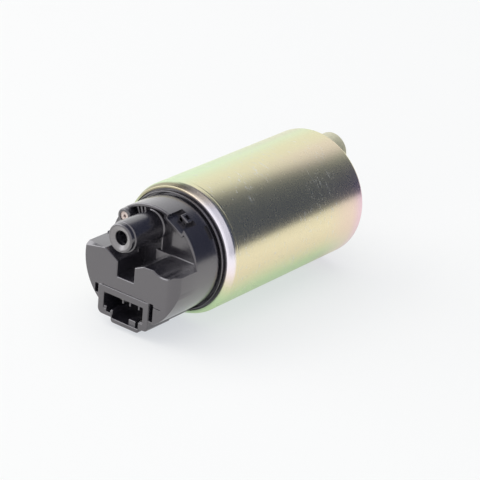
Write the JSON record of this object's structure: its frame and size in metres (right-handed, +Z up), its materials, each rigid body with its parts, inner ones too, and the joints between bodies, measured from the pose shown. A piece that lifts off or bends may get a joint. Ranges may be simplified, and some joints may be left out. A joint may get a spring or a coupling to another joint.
{
  "type": "fuel pump",
  "caption": "In-tank electric fuel pump: zinc-plated steel barrel, black moulded end cap with outlet pipe and connector socket, offset inlet nozzle, motor and turbine stage inside.",
  "frame": {"origin": "on the pump axis, where the straight barrel starts behind the rolled front edge", "axes": "+Y along the pump axis towards the inlet, -Y towards the outlet pipe and connector, +Z up with the connector at the bottom, +X to the right seen from the outlet end"},
  "size_m": [0.038, 0.0939, 0.038],
  "materials": {
    "case_steel": "zinc plated steel, yellow-green chromate, satin",
    "cap_plastic": "black moulded plastic, semi-gloss",
    "bearing_bronze": "sintered bronze",
    "shaft_steel": "ground steel",
    "lamination_steel": "stacked electrical steel",
    "copper": "enamelled copper",
    "ferrite": "sintered ferrite",
    "spring_steel": "bright spring wire",
    "carbon": "pressed carbon",
    "terminal_tin": "tinned brass",
    "valve_plastic": "cream moulded plastic",
    "valve_brass": "turned brass",
    "housing_aluminium": "machined die casting",
    "impeller_resin": "phenolic resin",
    "cover_metal": "yellow chromated die casting, satin"
  },
  "bodies": {
    "root": {"case_tube": "case_steel", "end_cap": "cap_plastic", "front_bearing": "bearing_bronze", "rear_bearing": "bearing_bronze", "magnet_upper": "ferrite", "magnet_lower": "ferrite", "magnet_clip_left": "spring_steel", "magnet_clip_right": "spring_steel", "brush_spring_left": "spring_steel", "brush_spring_right": "spring_steel", "terminal_left": "terminal_tin", "terminal_right": "terminal_tin", "choke_left": "copper", "choke_right": "copper", "check_valve_seat": "valve_brass", "check_valve_spring": "spring_steel", "relief_valve_spring": "spring_steel", "relief_valve_plug": "valve_plastic", "pump_housing": "housing_aluminium", "inlet_cover": "cover_metal", "thrust_plate": "shaft_steel"},
    "armature": {"shaft": "shaft_steel", "commutator": "carbon", "armature_core": "lamination_steel", "armature_windings": "copper", "impeller": "impeller_resin"},
    "brush_left": {"brush_left": "carbon"},
    "brush_right": {"brush_right": "carbon"},
    "check_valve": {"check_valve_poppet": "valve_plastic"},
    "relief_valve": {"relief_valve_poppet": "valve_plastic"}
  },
  "joints": [
    {"name": "armature_spin", "type": "hinge", "parent": "root", "child": "armature", "pos_m": [0, 0, 0], "axis": [0, 1, 0], "continuous": true},
    {"name": "brush_left_slide", "type": "slide", "parent": "root", "child": "brush_left", "axis": [0, -1, 0], "range_m": [0, 0.0015], "stiffness_N_per_m": 150, "springref_m": -0.003, "deforming": ["brush_spring_left"]},
    {"name": "brush_right_slide", "type": "slide", "parent": "root", "child": "brush_right", "axis": [0, -1, 0], "range_m": [0, 0.0015], "stiffness_N_per_m": 150, "springref_m": -0.003, "deforming": ["brush_spring_right"]},
    {"name": "check_valve_lift", "type": "slide", "parent": "root", "child": "check_valve", "axis": [0, -1, 0], "range_m": [0, 0.0015], "stiffness_N_per_m": 100, "springref_m": -0.002, "deforming": ["check_valve_spring"]},
    {"name": "relief_valve_lift", "type": "slide", "parent": "root", "child": "relief_valve", "axis": [0, -1, 0], "range_m": [0, 0.001], "stiffness_N_per_m": 600, "springref_m": -0.002, "deforming": ["relief_valve_spring"]}
  ]
}
